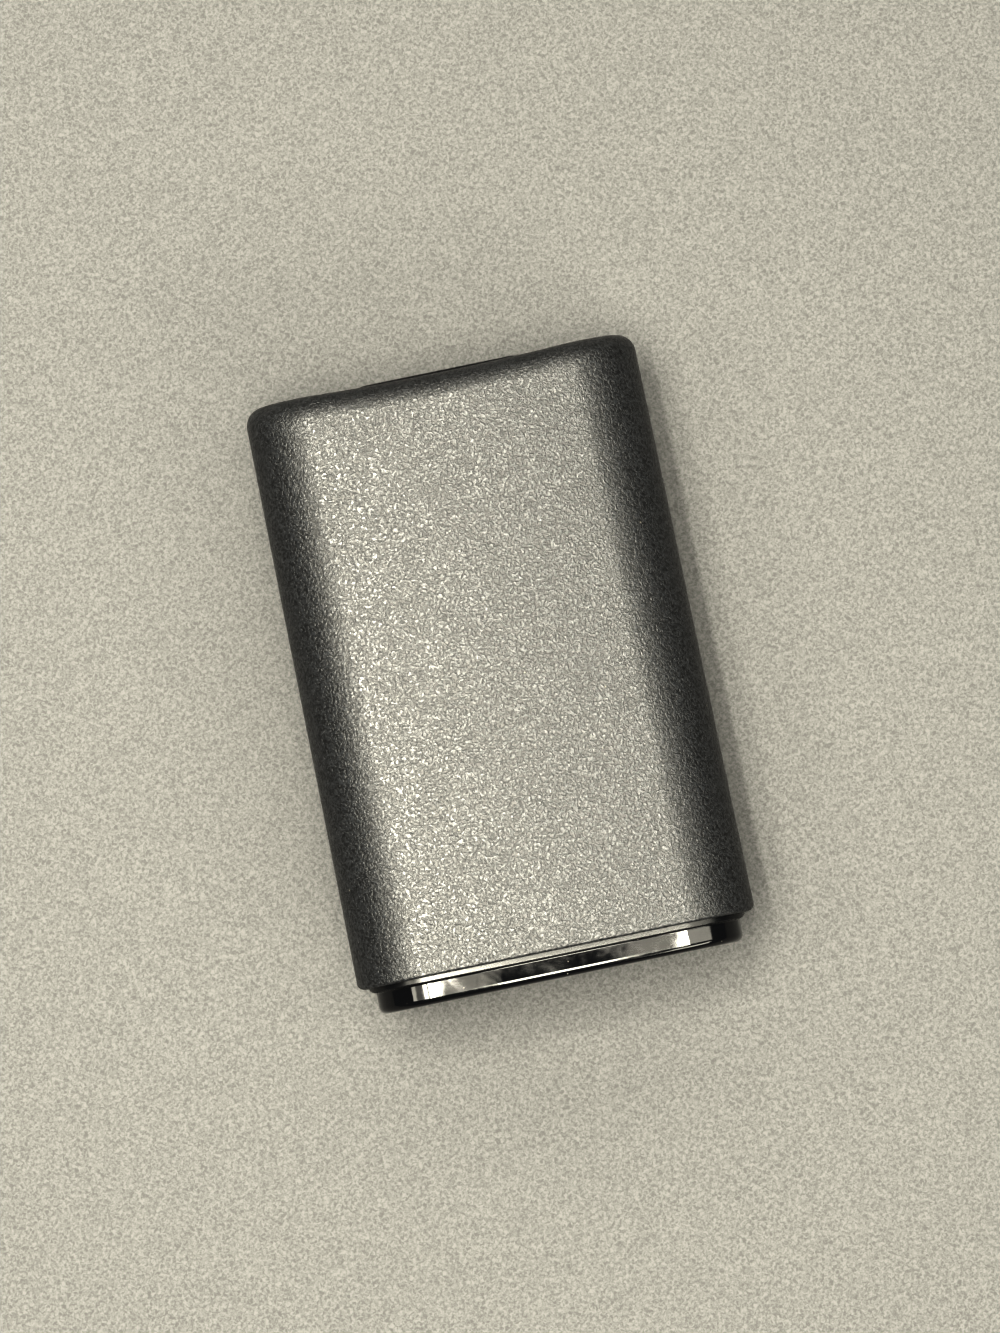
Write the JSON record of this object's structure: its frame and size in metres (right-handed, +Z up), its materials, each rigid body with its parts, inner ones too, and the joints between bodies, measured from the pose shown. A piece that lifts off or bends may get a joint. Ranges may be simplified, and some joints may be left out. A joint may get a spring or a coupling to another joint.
{
  "type": "controller battery pack",
  "caption": "Clip-in battery pack for a hand-held game controller: round-shouldered cover over an open cell tray, with a tail lip and a press latch.",
  "frame": {"origin": "middle of the bounding box, on the plane that the tray's rim rests on", "axes": "+Y along the pack towards its latch end, +Z up through the outer cover, +X to the right seen from the tail"},
  "size_m": [0.045, 0.0698, 0.02],
  "materials": {
    "cover_abs": "fine spark-eroded matte black",
    "tray_abs": "polished black",
    "latch_abs": "satin black",
    "contact_nickel": "nickel-plated strip",
    "spring_steel": "nickel-plated wire",
    "cell_film": "shrunk film over a steel can"
  },
  "bodies": {
    "pack": {"outer_cover": "cover_abs", "cell_tray": "tray_abs", "bridge_contact": "contact_nickel", "bridge_spring": "spring_steel", "positive_terminal": "contact_nickel", "negative_terminal": "contact_nickel", "negative_spring": "spring_steel", "left_cell": "cell_film", "right_cell": "cell_film"},
    "latch": {"release_latch": "latch_abs"}
  },
  "joints": [
    {"name": "latch_press", "type": "hinge", "parent": "pack", "child": "latch", "pos_m": [0, 0.03079, 0.0153], "axis": [-1, 0, 0], "range_deg": [0, 7], "stiffness_Nm_per_rad": 0.15}
  ]
}
